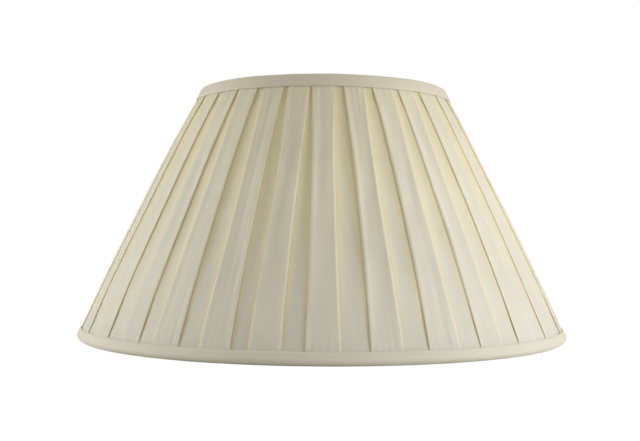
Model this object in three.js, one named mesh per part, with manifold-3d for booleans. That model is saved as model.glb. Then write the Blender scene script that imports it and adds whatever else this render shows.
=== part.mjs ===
// A box-pleated empire lamp shade: a wire frame of two rings and eight struts, a stretched lining,
// three pleated cover panels, a bias binding round each rim, and a reversible gimbal fitter with a reducer ring.
//
// Millimetres, +Z up. The origin is on the axis of the cone, on the surface the shade stands on.
// Angles run round the axis from the front (-Y) towards +X.
// Heights on the cone wall are given by two numbers: "along", up the slope from the bottom ring's wire centre,
// and "out", square to the slope from the line that joins the two wire centres.

import * as THREE from "three";
import { mergeVertices } from "three/addons/utils/BufferGeometryUtils.js";
import Module from "manifold-3d";

// Frame
const BOTTOM_RING_DIAMETER = 398; // at the centre of the wire
const TOP_RING_DIAMETER = 201; // at the centre of the wire
const FRAME_HEIGHT = 200; // between the two ring wires' centres
const RING_WIRE_DIAMETER = 3;
const STRUT_COUNT = 8;
const STRUT_DIAMETER = 2.8;
const TAPE_THICKNESS = 0.4; // cotton tape wound on the rings, for the cloth to be sewn to

// Cloth
const PANEL_COUNT = 3;
const PLEATS_PER_PANEL = 10;
const FIRST_PLEAT = 5; // the pleat that the first panel starts with, counted from the front
const COVER_THICKNESS = 0.8; // the folded layers of the cover, as one sheet
const GAP_AT_BASE = 18; // between two box pleats, measured round the bottom of the cover
const GAP_AT_TOP = 4.5;
const PLEAT_LIFT = 3.4; // how far a pleat's face stands off the groove beside it, half way up
const FACE_SAG = 0.7; // how far the middle of a face lies below its two folds
const PLEAT_WALL_RUN = 0.8; // how far a pleat's side wall spreads from its face to the groove
const LINING_THICKNESS = 0.4;
const BINDING_THICKNESS = 0.6;
const BAND_HEIGHT = 9.4; // how much of each binding shows outside, measured upright
const BINDING_INNER_LEG = 5; // how far each binding reaches past the wire's centre inside
const CREST_FLAT = Math.PI / 4; // how much of a binding's turn over its wire is pressed flat

// Gimbal fitter
const GIMBAL_DROP = 42; // from the pivot down to the utility ring's upper face
const PIVOT_BELOW_WIRE = 0.8;
const RIVET_DIAMETER = 3;
const RIVET_HEAD_DIAMETER = 7;
const RIVET_HEAD_THICKNESS = 1.8;
const ARM_WIDTH = 7;
const ARM_THICKNESS = 1.5;
const ARM_UPRIGHT = 8; // straight part of an arm under its pivot
const UTILITY_BORE = 42.5;
const UTILITY_RIM = 8.75; // width of the flat ring round its bore
const UTILITY_THICKNESS = 1.6;
const REDUCER_BORE = 29;
const REDUCER_FLANGE_LIP = 3.25; // how far the flange lies on the utility ring
const REDUCER_FLANGE_THICKNESS = 1.8;
const REDUCER_BARREL_WALL = 2.2;
const REDUCER_BARREL_BELOW = 2.5; // how far the barrel stands out under the utility ring
const REDUCER_SLOT_COUNT = 3;
const REDUCER_SLOT_WIDTH = 5;

// Clearances
const LAYER_GAP = 0.25; // between one layer and the next
const WELD_GAP = 0.3; // where one welded piece meets another
const HOLE_CLEARANCE = 0.25; // round a rivet, on the radius
const ARM_CLEARANCE = 0.9; // between an arm and the binding behind it
const FLANGE_CLEARANCE = 1.1; // between the reducer's flange and the end of an arm
const BARREL_CLEARANCE = 0.35; // between the reducer's barrel and the utility ring's bore

// Faceting
const PLEATS = PANEL_COUNT * PLEATS_PER_PANEL;
const RING_SIDES = 2 * PLEATS; // every ring round the shade has a corner behind each face and each groove
const WIRE_SIDES = 8;
const SMALL_RING_SIDES = 40;
const PIN_SIDES = 20;

// The cone wall
const bottomRadius = BOTTOM_RING_DIAMETER / 2;
const topRadius = TOP_RING_DIAMETER / 2;
const slope = Math.atan2(bottomRadius - topRadius, FRAME_HEIGHT);
const slant = Math.hypot(bottomRadius - topRadius, FRAME_HEIGHT);

// Layers at a ring, measured out from the wire's centre
const wireRadius = RING_WIRE_DIAMETER / 2;
const tapeInner = wireRadius + LAYER_GAP;
const tapeOuter = tapeInner + TAPE_THICKNESS;
const clothStart = tapeOuter + LAYER_GAP;
const bindingOutside = clothStart + COVER_THICKNESS + LAYER_GAP + BINDING_THICKNESS;
const bindingInside = clothStart + LINING_THICKNESS + LAYER_GAP + BINDING_THICKNESS;
const bindingPastWire = clothStart + LAYER_GAP + BINDING_THICKNESS;

// The binding's rounded edge is half an ellipse round the wire, with a flat on its crest
const edgeCentre = (bindingOutside - bindingInside) / 2;
const edgeHalfWidth = (bindingOutside + bindingInside) / 2;
const edgeSpread = Math.hypot(edgeHalfWidth * Math.cos(slope), bindingPastWire * Math.sin(slope));
const crestTilt = Math.atan2(edgeHalfWidth * Math.sin(slope), bindingPastWire * Math.cos(slope));
const crestRise =
  Math.hypot(edgeHalfWidth * Math.sin(slope), bindingPastWire * Math.cos(slope)) * Math.cos(CREST_FLAT / 2);
const bottomWireHeight = crestRise - edgeCentre * Math.sin(slope);
const topWireHeight = bottomWireHeight + FRAME_HEIGHT;
const shadeHeight = topWireHeight + edgeCentre * Math.sin(slope) + crestRise;

// How far up the slope the two bindings reach
const alongAtHeight = (height, out) =>
  (height - bottomWireHeight - out * Math.sin(slope)) / Math.cos(slope);
const bottomBandEnd = alongAtHeight(BAND_HEIGHT, bindingOutside);
const topBandEnd = alongAtHeight(shadeHeight - BAND_HEIGHT, bindingOutside);
const freeStart = bottomBandEnd + LAYER_GAP;
const freeEnd = topBandEnd - LAYER_GAP;

// The gimbal's places
const pivotHeight = topWireHeight - PIVOT_BELOW_WIRE;
const armOuterFace = topRadius + edgeCentre * Math.cos(slope) - edgeSpread - ARM_CLEARANCE;
const armInnerFace = armOuterFace - ARM_THICKNESS;
const utilityTop = pivotHeight - GIMBAL_DROP;
const utilityOuterRadius = UTILITY_BORE / 2 + UTILITY_RIM;
const flangeRadius = UTILITY_BORE / 2 + REDUCER_FLANGE_LIP;

const white = { color: 0xf2f0ea, roughness: 0.45, metalness: 0.1 };
const FINISHES = {
  creamCloth: new THREE.MeshStandardMaterial({ color: 0xece6cf, roughness: 0.85, metalness: 0 }),
  liningCloth: new THREE.MeshStandardMaterial({ color: 0xf4f1e6, roughness: 0.8, metalness: 0 }),
  tapeCloth: new THREE.MeshStandardMaterial({ color: 0xe9e4d4, roughness: 0.9, metalness: 0 }),
  frameWire: new THREE.MeshStandardMaterial(white),
  gimbalSteel: new THREE.MeshStandardMaterial(white),
  rivetSteel: new THREE.MeshStandardMaterial({ color: 0xb9babb, roughness: 0.35, metalness: 0.9 }),
  reducerPlastic: new THREE.MeshStandardMaterial({ color: 0xf5f4ef, roughness: 0.5, metalness: 0 }),
};

const shade = new THREE.Group();
const wasm = await Module();
wasm.setup();

/** Adds a named mesh to the shade. */
function add(name, geometry, finish) {
  const mesh = new THREE.Mesh(geometry, finish);
  mesh.name = name;
  shade.add(mesh);
  return mesh;
}

/** A closed geometry as a solid that can be cut and joined. */
function toSolid(geometry) {
  const bare = geometry.clone();
  bare.deleteAttribute("normal");
  bare.deleteAttribute("uv");
  const merged = mergeVertices(bare, 1e-3);
  const vertProperties = new Float32Array(merged.attributes.position.array);
  const triVerts = new Uint32Array(merged.index.array);
  return new wasm.Manifold(new wasm.Mesh({ numProp: 3, vertProperties, triVerts }));
}

/** A cut or joined solid as a geometry again. */
function toGeometry(solid) {
  const { vertProperties, triVerts } = solid.getMesh();
  return new THREE.BufferGeometry()
    .setAttribute("position", new THREE.BufferAttribute(vertProperties, 3))
    .setIndex(new THREE.BufferAttribute(triVerts, 1));
}

/** The geometry with every one of the tools cut out of it. */
function cut(geometry, tools) {
  return toGeometry(tools.reduce((solid, tool) => solid.subtract(toSolid(tool)), toSolid(geometry)));
}

/** Radius and height of a point on the cone wall. */
function onWall(along, out) {
  return {
    radius: bottomRadius - along * Math.sin(slope) + out * Math.cos(slope),
    height: bottomWireHeight + along * Math.cos(slope) + out * Math.sin(slope),
  };
}

/** The point at an angle round the axis, on the flat-sided ring that all the pieces share. */
function aroundAxis(radius, angle, height) {
  const side = (2 * Math.PI) / RING_SIDES;
  const fromSideMiddle = angle - (Math.floor(angle / side) + 0.5) * side;
  const r = (radius * Math.cos(side / 2)) / Math.cos(fromSideMiddle);
  return [r * Math.sin(angle), -r * Math.cos(angle), height];
}

/** A closed outline of radius and height, turned round the axis. It may run either way round. */
function turned(outline, sides) {
  const area = outline.reduce((sum, p, i) => {
    const q = outline[(i + 1) % outline.length];
    return sum + p.radius * q.height - q.radius * p.height;
  }, 0);
  const points = (area > 0 ? outline : [...outline].reverse()).map(
    (p) => new THREE.Vector2(p.radius, p.height),
  );
  return new THREE.LatheGeometry([...points, points[0]], sides).rotateX(Math.PI / 2);
}

/** A closed sheet between two surfaces. outer and inner give a point for a column and a row. */
function sheet(columns, rows, outer, inner) {
  const position = [];
  const index = [];
  for (const surface of [outer, inner])
    for (let row = 0; row < rows; row++)
      for (let column = 0; column < columns; column++) position.push(...surface(column, row));
  const outside = (column, row) => row * columns + column;
  const inside = (column, row) => rows * columns + outside(column, row);
  const quad = (a, b, c, d) => index.push(a, b, c, a, c, d);
  for (let row = 0; row + 1 < rows; row++)
    for (let column = 0; column + 1 < columns; column++) {
      const [c, r] = [column + 1, row + 1];
      quad(outside(column, row), outside(c, row), outside(c, r), outside(column, r));
      quad(inside(column, row), inside(column, r), inside(c, r), inside(c, row));
    }
  for (let column = 0; column + 1 < columns; column++) {
    const [c, last] = [column + 1, rows - 1];
    quad(outside(column, 0), inside(column, 0), inside(c, 0), outside(c, 0));
    quad(outside(column, last), outside(c, last), inside(c, last), inside(column, last));
  }
  for (let row = 0; row + 1 < rows; row++) {
    const [r, last] = [row + 1, columns - 1];
    quad(outside(0, row), outside(0, r), inside(0, r), inside(0, row));
    quad(outside(last, row), inside(last, row), inside(last, r), outside(last, r));
  }
  return new THREE.BufferGeometry()
    .setAttribute("position", new THREE.Float32BufferAttribute(position, 3))
    .setIndex(index);
}

/** A cylinder from one point to another. */
function rod(from, to, radius, sides) {
  const run = new THREE.Vector3().subVectors(to, from);
  const upright = new THREE.Vector3(0, 1, 0);
  const turn = new THREE.Quaternion().setFromUnitVectors(upright, run.clone().normalize());
  const middle = new THREE.Vector3().addVectors(from, to).multiplyScalar(0.5);
  return new THREE.CylinderGeometry(radius, radius, run.length(), sides)
    .applyQuaternion(turn)
    .translate(middle.x, middle.y, middle.z);
}

/** A strut's centre line at one angle, from one place up the slope to another. */
function strutLine(index, fromAlong, toAlong) {
  const angle = (2 * Math.PI * index) / STRUT_COUNT + Math.PI / 2;
  return [fromAlong, toAlong].map((along) => {
    const { radius, height } = onWall(along, 0);
    return new THREE.Vector3(radius * Math.sin(angle), -radius * Math.cos(angle), height);
  });
}

/** A round bar, or a hollow if it is used as a tool, that follows a ring of the frame. */
function ringOfWire(radius, height, thickness) {
  const section = Array.from({ length: WIRE_SIDES }, (_, i) => {
    const turn = ((i + 0.5) * 2 * Math.PI) / WIRE_SIDES;
    const across = (thickness / 2) * Math.cos(turn);
    return { radius: radius + across, height: height + (thickness / 2) * Math.sin(turn) };
  });
  return turned(section, RING_SIDES);
}

/** The two ring wires and the struts between them. */
function addFrame() {
  add("bottom_ring_wire", ringOfWire(bottomRadius, bottomWireHeight, RING_WIRE_DIAMETER), FINISHES.frameWire);
  add("top_ring_wire", ringOfWire(topRadius, topWireHeight, RING_WIRE_DIAMETER), FINISHES.frameWire);
  const end = wireRadius + WELD_GAP;
  for (let i = 0; i < STRUT_COUNT; i++) {
    const [from, to] = strutLine(i, end, slant - end);
    add(`strut_${i + 1}`, rod(from, to, STRUT_DIAMETER / 2, 8), FINISHES.frameWire);
  }
}

/** The tape wound on each ring, open where struts and rivets pass through it. */
function addRingTapes() {
  const rivets = [-1, 1].map((side) => rivetHole(side));
  const strutHoles = (from, to) =>
    Array.from({ length: STRUT_COUNT }, (_, i) =>
      rod(...strutLine(i, from, to), STRUT_DIAMETER / 2 + LAYER_GAP, 10),
    );
  const tapes = [
    ["bottom_ring_tape", bottomRadius, bottomWireHeight, strutHoles(0, 2 * tapeOuter)],
    ["top_ring_tape", topRadius, topWireHeight, [...strutHoles(slant - 2 * tapeOuter, slant), ...rivets]],
  ];
  for (const [name, radius, height, holes] of tapes) {
    const core = ringOfWire(radius, height, 2 * tapeInner);
    const wound = ringOfWire(radius, height, 2 * tapeOuter);
    add(name, cut(wound, [core, ...holes]), FINISHES.tapeCloth);
  }
}

/** The hole that a pivot rivet needs through the cloth on one side. */
function rivetHole(side) {
  const radius = RIVET_DIAMETER / 2 + HOLE_CLEARANCE;
  const from = new THREE.Vector3(side * (armInnerFace - RIVET_HEAD_THICKNESS), 0, pivotHeight);
  const to = new THREE.Vector3(side * topRadius, 0, pivotHeight);
  return rod(from, to, radius, PIN_SIDES);
}

/** The two halves of the stretched lining, each with a hole for one pivot rivet. */
function addLining() {
  const columns = RING_SIDES / 2 + 1;
  const rows = [0, slant];
  for (const [name, start] of [["lining_right", 0], ["lining_left", Math.PI]]) {
    const place = (out) => (column, row) => {
      const { radius, height } = onWall(rows[row], out);
      const seam = LAYER_GAP / 2 / radius;
      const share = column / (columns - 1);
      const angle = start + seam + share * (Math.PI - 2 * seam);
      return aroundAxis(radius, angle, height);
    };
    const geometry = sheet(columns, 2, place(-clothStart), place(-clothStart - LINING_THICKNESS));
    const side = name === "lining_right" ? 1 : -1;
    add(name, cut(geometry, [rivetHole(side)]), FINISHES.liningCloth);
  }
}

/** How far the faces stand off the grooves, from 0 at a binding's edge to 1 half way up. */
function puff(along) {
  const free = (along - freeStart) / (freeEnd - freeStart);
  return free <= 0 || free >= 1 ? 0 : Math.sqrt(Math.sin(Math.PI * free));
}

/** Half the width of a pleat's face at a place up the slope. */
function halfFace(along, radius) {
  const share = along / slant;
  const gap = GAP_AT_TOP + (GAP_AT_BASE - GAP_AT_TOP) * (1 - share * share);
  return ((2 * Math.PI * radius) / PLEATS - gap) / 2 - PLEAT_WALL_RUN;
}

/** The pleated cover, in panels that meet half way across a groove. */
function addCover() {
  const freeRows = [0, 0.1, 0.5, 0.9, 1].map((t) => freeStart + t * (freeEnd - freeStart));
  const rows = [0, ...freeRows, slant];
  const pitch = (2 * Math.PI) / PLEATS;
  const seamGap = LAYER_GAP / 2;

  // One pleat's corners from its left groove's middle: reach out from the pleat's middle, and lift
  const corners = (along, radius) => {
    const face = halfFace(along, radius);
    const foot = face + PLEAT_WALL_RUN;
    const lift = PLEAT_LIFT * puff(along);
    const sag = FACE_SAG * puff(along);
    return [
      { across: -foot, lift: 0, side: 1 },
      { across: -face, lift, side: 1 },
      { across: 0, lift: lift - sag, side: 0 },
      { across: face, lift, side: -1 },
      { across: foot, lift: 0, side: -1 },
    ];
  };
  const columns = PLEATS_PER_PANEL * 6 + 1;

  for (let panel = 0; panel < PANEL_COUNT; panel++) {
    const first = FIRST_PLEAT + panel * PLEATS_PER_PANEL;
    const place = (thickness) => (column, row) => {
      const along = rows[row];
      const out = clothStart + COVER_THICKNESS - thickness;
      const grooveRadius = onWall(along, out).radius;
      const pleat = Math.floor(column / 6);
      const corner = column % 6;
      if (corner === 0) {
        const edge = column === 0 ? seamGap : column === columns - 1 ? -seamGap : 0;
        const angle = (first + pleat - 0.5) * pitch + edge / grooveRadius;
        return aroundAxis(grooveRadius, angle, onWall(along, out).height);
      }
      const { across, lift, side } = corners(along, grooveRadius)[corner - 1];
      const { radius, height } = onWall(along, out + lift);
      const angle = (first + pleat) * pitch + (across + side * thickness) / grooveRadius;
      return aroundAxis(radius, angle, height);
    };
    const geometry = sheet(columns, rows.length, place(0), place(COVER_THICKNESS));
    add(`pleated_cover_panel_${panel + 1}`, geometry, FINISHES.creamCloth);
  }
}

/** Outline of a binding folded over a ring. past is -1 under the bottom wire and 1 over the top one. */
function bindingOutline(wireAlong, bandEnd, past) {
  const legEnd = wireAlong - past * BINDING_INNER_LEG;
  const crest = Math.PI / 2 - past * crestTilt;
  const [flatStart, flatEnd] = [crest - CREST_FLAT / 2, crest + CREST_FLAT / 2];
  const turns = [0, flatStart / 2, flatStart, flatEnd, (flatEnd + Math.PI) / 2, Math.PI];
  const contour = (inset) => {
    const half = edgeHalfWidth - inset;
    const reach = bindingPastWire - inset;
    const arc = turns.map((turn) => [wireAlong + past * reach * Math.sin(turn), edgeCentre + half * Math.cos(turn)]);
    return [[bandEnd, edgeCentre + half], ...arc, [legEnd, edgeCentre - half]];
  };
  const outline = [...contour(0), ...contour(BINDING_THICKNESS).reverse()];
  return outline.map(([along, out]) => onWall(along, out));
}

/** The bias binding round each rim. The top one lets the pivot rivets through its inner leg. */
function addBindings() {
  const bottom = turned(bindingOutline(0, bottomBandEnd, -1), RING_SIDES);
  add("bottom_binding", bottom, FINISHES.creamCloth);
  const top = turned(bindingOutline(slant, topBandEnd, 1), RING_SIDES);
  add("top_binding", cut(top, [rivetHole(-1), rivetHole(1)]), FINISHES.creamCloth);
}

/** A strip of even thickness along a bent line of [x, z] points, as a shape. */
function stripShape(line, thickness) {
  const half = thickness / 2;
  const offsets = line.map((point, i) => {
    const directions = [line[i - 1] && [line[i - 1], point], line[i + 1] && [point, line[i + 1]]]
      .filter(Boolean)
      .map(([a, b]) => Math.atan2(b[1] - a[1], b[0] - a[0]));
    const first = directions[0];
    const last = directions[directions.length - 1];
    const middle = (first + last) / 2;
    const reach = half / Math.cos((last - first) / 2);
    return [-Math.sin(middle) * reach, Math.cos(middle) * reach];
  });
  const side = (sign) => line.map(([x, z], i) => new THREE.Vector2(x + sign * offsets[i][0], z + sign * offsets[i][1]));
  return new THREE.Shape([...side(1), ...side(-1).reverse()]);
}

/** One arm of the gimbal: an eye on the pivot, an upright, a slope, and a lap on the utility ring. */
function gimbalArm(side) {
  const faceMiddle = (armOuterFace + armInnerFace) / 2;
  const lapHeight = utilityTop + WELD_GAP + ARM_THICKNESS / 2;
  const line = [
    [faceMiddle, pivotHeight],
    [faceMiddle, pivotHeight - ARM_UPRIGHT],
    [utilityOuterRadius + ARM_THICKNESS, lapHeight],
    [flangeRadius + FLANGE_CLEARANCE, lapHeight],
  ];
  const strip = new THREE.ExtrudeGeometry(stripShape(line, ARM_THICKNESS), { depth: ARM_WIDTH, bevelEnabled: false })
    .rotateX(Math.PI / 2)
    .translate(0, ARM_WIDTH / 2, 0);
  const at = (x) => new THREE.Vector3(x, 0, pivotHeight);
  const eye = rod(at(armInnerFace), at(armOuterFace), ARM_WIDTH / 2, PIN_SIDES);
  const holeRadius = RIVET_DIAMETER / 2 + HOLE_CLEARANCE;
  const hole = rod(at(armInnerFace - ARM_THICKNESS), at(armOuterFace + ARM_THICKNESS), holeRadius, PIN_SIDES);
  const arm = toGeometry(toSolid(strip).add(toSolid(eye)).subtract(toSolid(hole)));
  return side > 0 ? arm : arm.rotateZ(Math.PI);
}

/** A pivot rivet: a head inside the arm, and a shank out to the top ring's wire. */
function pivotRivet(side) {
  const headEnd = armInnerFace - WELD_GAP;
  const wireFace = topRadius - Math.sqrt(wireRadius ** 2 - PIVOT_BELOW_WIRE ** 2) - 2 * WELD_GAP;
  const at = (x) => new THREE.Vector3(x, 0, pivotHeight);
  const head = rod(at(headEnd - RIVET_HEAD_THICKNESS), at(headEnd), RIVET_HEAD_DIAMETER / 2, PIN_SIDES);
  const shank = rod(at(headEnd - RIVET_HEAD_THICKNESS / 2), at(wireFace), RIVET_DIAMETER / 2, PIN_SIDES);
  const rivet = toGeometry(toSolid(head).add(toSolid(shank)));
  return side > 0 ? rivet : rivet.rotateZ(Math.PI);
}

/** The flat ring that a lamp holder's shoulder bears on. */
function utilityRing() {
  const [inner, outer] = [UTILITY_BORE / 2, utilityOuterRadius];
  const bottom = utilityTop - UTILITY_THICKNESS;
  const chamfer = UTILITY_THICKNESS / 5;
  return turned(
    [
      { radius: inner, height: bottom },
      { radius: outer - chamfer, height: bottom },
      { radius: outer, height: bottom + chamfer },
      { radius: outer, height: utilityTop - chamfer },
      { radius: outer - chamfer, height: utilityTop },
      { radius: inner, height: utilityTop },
    ],
    SMALL_RING_SIDES,
  );
}

/** The push-in ring that narrows the fitter's bore: a flange on top, and a slotted barrel through the bore. */
function reducerRing() {
  const seat = utilityTop + WELD_GAP;
  const barrelOuter = UTILITY_BORE / 2 - BARREL_CLEARANCE;
  const barrelInner = barrelOuter - REDUCER_BARREL_WALL;
  const barrelEnd = utilityTop - UTILITY_THICKNESS - REDUCER_BARREL_BELOW;
  const profile = [
    { radius: REDUCER_BORE / 2, height: seat },
    { radius: barrelInner, height: seat },
    { radius: barrelInner, height: barrelEnd },
    { radius: barrelOuter, height: barrelEnd },
    { radius: barrelOuter, height: seat },
    { radius: flangeRadius, height: seat },
    { radius: flangeRadius, height: seat + REDUCER_FLANGE_THICKNESS },
    { radius: REDUCER_BORE / 2, height: seat + REDUCER_FLANGE_THICKNESS },
  ];
  const slotDepth = seat - barrelEnd;
  const slots = Array.from({ length: REDUCER_SLOT_COUNT }, (_, i) =>
    new THREE.BoxGeometry(REDUCER_SLOT_WIDTH, 2 * REDUCER_BARREL_WALL, slotDepth)
      .translate(0, -(barrelInner + barrelOuter) / 2, barrelEnd + slotDepth / 2 - WELD_GAP)
      .rotateZ((2 * Math.PI * i) / REDUCER_SLOT_COUNT),
  );
  return cut(turned(profile, SMALL_RING_SIDES), slots);
}

/** The gimbal on its two rivets, and the reducer ring that sits in it. */
function addFitter() {
  for (const [name, side] of [["right", 1], ["left", -1]]) {
    add(`pivot_rivet_${name}`, pivotRivet(side), FINISHES.rivetSteel);
    add(`gimbal_arm_${name}`, gimbalArm(side), FINISHES.gimbalSteel);
  }
  add("utility_ring", utilityRing(), FINISHES.gimbalSteel);
  add("reducer_ring", reducerRing(), FINISHES.reducerPlastic);
}

addFrame();
addRingTapes();
addLining();
addCover();
addBindings();
addFitter();

export default shade;
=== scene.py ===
"""A box-pleated empire lamp shade: its cloth, wire, fitter and studio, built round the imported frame.

Everything is in metres, in the frame's own axes: +Z up the cone's axis and -Y the front. A turn is an angle
round the axis from the front towards +X. A place on the cone's wall is given by "along", up the slope from
the bottom ring's wire centre, and "out", square to the slope from the line that joins the wire centres.
"""

import logging
import math
from contextlib import contextmanager
from dataclasses import dataclass
from enum import Enum
from typing import Iterator, Sequence

import bmesh
import bpy
import numpy as np
from mathutils import Matrix, Vector

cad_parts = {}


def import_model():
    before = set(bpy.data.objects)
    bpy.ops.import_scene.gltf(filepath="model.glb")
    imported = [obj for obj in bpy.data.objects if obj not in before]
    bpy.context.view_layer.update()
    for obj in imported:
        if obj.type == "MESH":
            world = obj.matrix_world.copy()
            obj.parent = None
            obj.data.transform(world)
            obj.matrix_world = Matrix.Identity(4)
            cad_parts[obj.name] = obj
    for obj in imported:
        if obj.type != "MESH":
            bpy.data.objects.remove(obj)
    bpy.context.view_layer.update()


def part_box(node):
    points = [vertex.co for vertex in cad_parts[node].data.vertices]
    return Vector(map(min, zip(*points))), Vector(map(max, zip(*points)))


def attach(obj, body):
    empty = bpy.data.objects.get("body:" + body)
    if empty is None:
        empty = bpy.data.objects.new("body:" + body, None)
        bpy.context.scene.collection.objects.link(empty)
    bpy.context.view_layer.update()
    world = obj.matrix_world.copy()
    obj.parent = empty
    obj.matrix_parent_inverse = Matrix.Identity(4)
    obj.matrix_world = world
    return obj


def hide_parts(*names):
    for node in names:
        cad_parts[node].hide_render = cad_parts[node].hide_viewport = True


LOG = logging.getLogger("lamp_shade")
MM = 0.001
CAD_WIRE_SIDES = 8  # corners of the frame's ring wires, seen end on
FULL_TURN = 2 * math.pi
RIPPLE_RADIUS = 0.15  # where a turn is measured as a length, for ripples that run round the shade

Obj = bpy.types.Object
Socket = bpy.types.NodeSocket
Colour = tuple[float, float, float]


# ---------------------------------------------------------------------------------------------------------
# Shared tools
# ---------------------------------------------------------------------------------------------------------


class Bench:
    """Small helpers for working on one object at a time."""

    @staticmethod
    def clear() -> None:
        """Leaves edit mode and deselects everything."""
        if bpy.context.object and bpy.context.object.mode != "OBJECT":
            bpy.ops.object.mode_set(mode="OBJECT")
        bpy.ops.object.select_all(action="DESELECT")

    @staticmethod
    def hold(obj: Obj) -> Obj:
        """Makes one object the only one selected, and the active one.

        Args:
            obj: the object.

        Returns:
            The same object.
        """
        Bench.clear()
        obj.select_set(True)
        bpy.context.view_layer.objects.active = obj
        return obj

    @staticmethod
    def named(name: str) -> Obj:
        """Names the object just added, and its mesh.

        Args:
            name: what to call them.

        Returns:
            The object.
        """
        obj = bpy.context.object
        obj.name = name
        obj.data.name = name
        return obj

    @staticmethod
    @contextmanager
    def editing(obj: Obj) -> Iterator[bmesh.types.BMesh]:
        """Opens an object's mesh in edit mode with nothing selected.

        Args:
            obj: the object to work on.

        Yields:
            The mesh as a BMesh, for choosing what the operators act on.
        """
        Bench.hold(obj)
        bpy.ops.object.mode_set(mode="EDIT")
        bpy.ops.mesh.select_mode(type="VERT")
        bpy.ops.mesh.select_all(action="DESELECT")
        yield bmesh.from_edit_mesh(obj.data)
        bpy.ops.object.mode_set(mode="OBJECT")

    @staticmethod
    def modify(obj: Obj, kind: str, **settings: object) -> None:
        """Adds a modifier with its settings and applies it.

        Args:
            obj: the object to change.
            kind: the modifier's type.
            **settings: values for the modifier's properties.
        """
        Bench.hold(obj)
        modifier = obj.modifiers.new(kind.title(), kind)
        for key, value in settings.items():
            setattr(modifier, key, value)
        bpy.ops.object.modifier_apply(modifier=modifier.name)

    @staticmethod
    def cut(obj: Obj, tool: Obj, operation: str = "DIFFERENCE") -> None:
        """Cuts a tool out of an object, or joins it on, and throws the tool away."""
        Bench.modify(obj, "BOOLEAN", operation=operation, object=tool, solver="EXACT")
        bpy.data.objects.remove(tool, do_unlink=True)

    @staticmethod
    def settle(obj: Obj, smooth_angle: float = 35.0) -> Obj:
        """Puts an object's place into its mesh, cleans the mesh and smooths it.

        Args:
            obj: the object to finish.
            smooth_angle: faces that meet at less than this many degrees are shaded as one.

        Returns:
            The same object.
        """
        Bench.hold(obj)
        bpy.ops.object.transform_apply(location=True, rotation=True, scale=True)
        bpy.ops.object.mode_set(mode="EDIT")
        bpy.ops.mesh.select_all(action="SELECT")
        bpy.ops.mesh.remove_doubles(threshold=1e-6)
        bpy.ops.mesh.normals_make_consistent(inside=False)
        bpy.ops.object.mode_set(mode="OBJECT")
        bpy.ops.object.shade_smooth_by_angle(angle=math.radians(smooth_angle))
        return obj

    @staticmethod
    def pick(mesh: bmesh.types.BMesh, items: Sequence, wanted: Sequence[bool]) -> None:
        """Selects those of a mesh's vertices, edges or faces that are wanted.

        Args:
            mesh: the mesh.
            items: its vertices, edges or faces.
            wanted: whether each of them is wanted.
        """
        for item, chosen in zip(items, wanted):
            item.select_set(chosen)
        mesh.select_flush_mode()


def dress(obj: Obj, finish: bpy.types.Material, node: str, body: str = "shade") -> Obj:
    """Gives a piece its finish, the solid it stands for and the body it moves with.

    Args:
        obj: the piece.
        finish: its material.
        node: the solid it replaces.
        body: the body it rides on.

    Returns:
        The same piece.
    """
    obj.data.materials.clear()
    obj.data.materials.append(finish)
    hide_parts(node)
    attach(obj, body)
    LOG.info("%s: stands for %s, rides on %s", obj.name, node, body)
    return obj


def woven_grid(
    name: str, points: np.ndarray, cloth: np.ndarray, joined: bool = False, depth: np.ndarray | None = None
) -> Obj:
    """Makes a sheet from a grid of points.

    Args:
        name: the new object's name.
        points: places, by row, column and axis.
        cloth: the same points on the flat cloth, in metres, by row, column and axis.
        joined: whether the last row joins the first one, as in a folded tape's section.
        depth: how much painted shade each point takes, from 0 to 1, by row and column.

    Returns:
        The new object, with its flat cloth as its UV map.
    """
    rows, columns = points.shape[:2]
    grid = np.arange(rows * columns).reshape(rows, columns)
    if joined:
        grid = np.vstack([grid, grid[:1]])
    quads = np.stack([grid[:-1, :-1], grid[:-1, 1:], grid[1:, 1:], grid[1:, :-1]], axis=-1).reshape(-1, 4)
    flat = np.vstack([cloth, cloth[:1]]) if joined else cloth
    if joined:
        flat[-1, :, 1] += cloth[1:, :, 1].max() + cloth[1, :, 1].mean()
    corners = np.stack([flat[:-1, :-1], flat[:-1, 1:], flat[1:, 1:], flat[1:, :-1]], axis=2).reshape(-1, 2)
    mesh = bpy.data.meshes.new(name)
    mesh.vertices.add(rows * columns)
    mesh.vertices.foreach_set("co", points.reshape(-1).astype(np.float32))
    mesh.loops.add(quads.size)
    mesh.loops.foreach_set("vertex_index", quads.reshape(-1).astype(np.int32))
    mesh.polygons.add(len(quads))
    mesh.polygons.foreach_set("loop_start", np.arange(0, quads.size, 4, dtype=np.int32))
    mesh.polygons.foreach_set("use_smooth", np.full(len(quads), True))
    mesh.update(calc_edges=True)
    mesh.uv_layers.new(name="cloth").data.foreach_set("uv", corners.reshape(-1).astype(np.float32))
    # Painted shade: how much of the cloth's painted fold and top shade each point takes, none where not
    # given.
    shaded = np.zeros(rows * columns) if depth is None else depth.reshape(-1)
    mesh.attributes.new("painted_shade_amount", "FLOAT", "POINT").data.foreach_set("value", shaded.astype(np.float32))
    obj = bpy.data.objects.new(name, mesh)
    bpy.context.scene.collection.objects.link(obj)
    return obj


@dataclass(frozen=True)
class Ripple:
    """A smooth unevenness of height 1, made of a few waves in seeded directions."""

    seed: int
    wavelength: tuple[float, float]
    waves: int = 7

    def at(self, x: np.ndarray, y: np.ndarray) -> np.ndarray:
        """Its height at places given by two coordinates in metres.

        Args:
            x: the first coordinate of each place.
            y: the second.

        Returns:
            The heights.
        """
        chance = np.random.RandomState(self.seed)
        height = np.zeros(np.broadcast(x, y).shape)
        for _ in range(self.waves):
            fx, fy = chance.normal(0, 1, 2) / np.array(self.wavelength)
            height = height + np.cos(FULL_TURN * (fx * x + fy * y) + chance.uniform(0, FULL_TURN))
        return height / math.sqrt(self.waves)


def ease(share: np.ndarray) -> np.ndarray:
    """A share from 0 to 1, eased at both ends."""
    held = np.clip(share, 0, 1)
    return held * held * (3 - 2 * held)


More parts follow.
